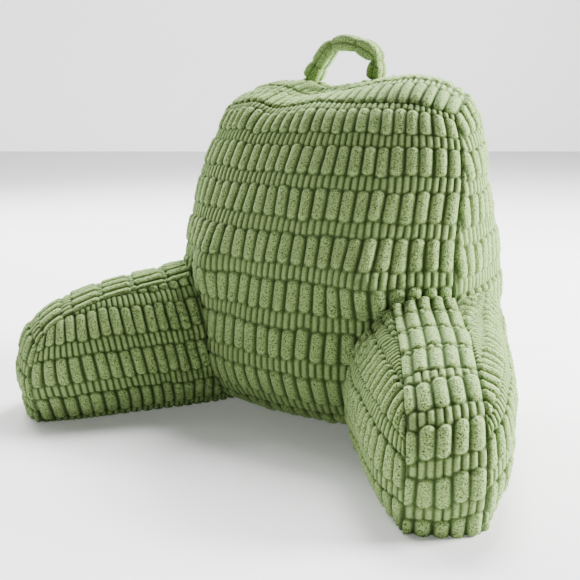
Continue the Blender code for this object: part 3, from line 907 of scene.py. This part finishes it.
def build_loop(material):
    """The strap, whose section is a rounded band that lies along its path."""
    at = np.linspace(0, 1, LOOP_STEPS)
    share = np.linspace(0, 1, len(LOOP_ROWS))
    table = dict(zip(LOOP_COLUMNS, np.array(LOOP_ROWS).T))
    values = {name: smooth_curve(share, table[name], at) for name in LOOP_COLUMNS}
    path = np.stack([values["x"], values["y"], values["z"]], axis=1)
    ahead = np.gradient(path, axis=0)
    ahead /= np.linalg.norm(ahead, axis=1)[:, None]
    wide = np.array([0.0, 1.0, 0.0]) - ahead * ahead[:, 1:2]
    wide /= np.linalg.norm(wide, axis=1)[:, None]
    thick = np.cross(ahead, wide)
    turn = np.linspace(0, 2 * pi, LOOP_SIDES + 1)
    aside, up = (np.sign(wave) * np.abs(wave) ** STRAP_ROUNDING for wave in (np.cos(turn), np.sin(turn)))
    run = np.concatenate([[0], np.cumsum(np.linalg.norm(np.diff(path, axis=0), axis=1))])
    ribs = turn / (2 * pi) * LOOP_RIBS
    bead = 0.2 + 0.8 * rise(1 - np.abs((run / LOOP_BEAD + FIRST_BEAD) % 1 - 0.5) * 2)
    rib = 0.25 + 0.75 * rise(1 - np.abs(ribs % 1 - 0.5) * 2) ** 0.7
    ends = rise(np.minimum(run, run[-1] - run) / LOOP_END_PINCH)
    height = LOOP_PILE * bead[:, None] * rib[None] * ends[:, None] - LOOP_SKIN
    along, around = np.meshgrid(run, turn * LOOP_RADIUS, indexing="ij")
    height += FUZZ * clouds(along, around, FUZZ_LUMP, 31)
    height[:, -1] = height[:, 0]
    skin = (
        path[:, None]
        + wide[:, None] * ((values["half_width"][:, None] + height) * aside)[..., None]
        + thick[:, None] * ((values["half_thickness"][:, None] + height) * up)[..., None]
    )
    # Painted shade: the strap is darker where its pile is lower, in its grooves and between its beads.
    painted_light = np.clip(0.15 + 1.1 * (height + LOOP_SKIN) / LOOP_PILE, 0, 1)
    plush_piece("carrying_loop_plush", [(skin, np.stack([painted_light, painted_light], axis=-1))], [], material)


def looking(place, target):
    """The turn of a lamp or camera that looks from one place at another."""
    return (Vector(target) - Vector(place)).to_track_quat("-Z", "Y").to_euler()


def studio_material(name, grey, roughness, glow):
    """A plain material that gives off some light of its own."""
    material = bpy.data.materials.new(name)
    material.use_nodes = True
    shader = material.node_tree.nodes["Principled BSDF"]
    shader.inputs["Base Color"].default_value = (grey, grey, grey, 1)
    shader.inputs["Roughness"].default_value = roughness
    shader.inputs["Emission Color"].default_value = (1, 1, 1, 1)
    shader.inputs["Emission Strength"].default_value = glow
    return material


def build_stage():
    """A plain pale floor and wall, with soft light from the right, the left and behind."""
    mesh = bmesh.new()
    bmesh.ops.create_grid(mesh, x_segments=1, y_segments=1, size=FLOOR_SIZE)
    data = bpy.data.meshes.new("studio_floor")
    mesh.to_mesh(data)
    mesh.free()
    data.materials.append(studio_material("studio_white", 0.85, 0.9, FLOOR_GLOW))
    floor = bpy.data.objects.new("studio_floor", data)
    bpy.context.scene.collection.objects.link(floor)

    wall = bpy.data.objects.new("studio_wall", data.copy())
    wall.location = WALL_PLACE
    wall.rotation_euler = (radians(90), 0, radians(WALL_TURN))
    wall.data.materials.clear()
    wall.data.materials.append(studio_material("studio_glow", 0.9, 0.5, WALL_GLOW))
    bpy.context.scene.collection.objects.link(wall)

    for name, place, target, size, power in LIGHTS:
        light = bpy.data.lights.new(name, "AREA")
        light.size = size
        light.energy = power
        lamp = bpy.data.objects.new(name, light)
        lamp.location = place
        lamp.rotation_euler = looking(place, target)
        bpy.context.scene.collection.objects.link(lamp)

    world = bpy.data.worlds.new("studio")
    world.use_nodes = True
    background = world.node_tree.nodes["Background"]
    background.inputs["Color"].default_value = (1, 1, 1, 1)
    background.inputs["Strength"].default_value = WORLD_LIGHT
    bpy.context.scene.world = world

    camera = bpy.data.objects.new("camera", bpy.data.cameras.new("camera"))
    camera.data.lens = LENS
    camera.data.sensor_width = 36
    camera.location = CAMERA_PLACE
    camera.rotation_euler = looking(CAMERA_PLACE, CAMERA_TARGET)
    bpy.context.scene.collection.objects.link(camera)
    bpy.context.scene.camera = camera


plush_green = plush_material()
build_backrest(plush_green)
outer_form = backrest_form()
build_arm("left", -1, 21, plush_green, outer_form)
build_arm("right", 1, 25, plush_green, outer_form)
build_loop(plush_green)
build_stage()
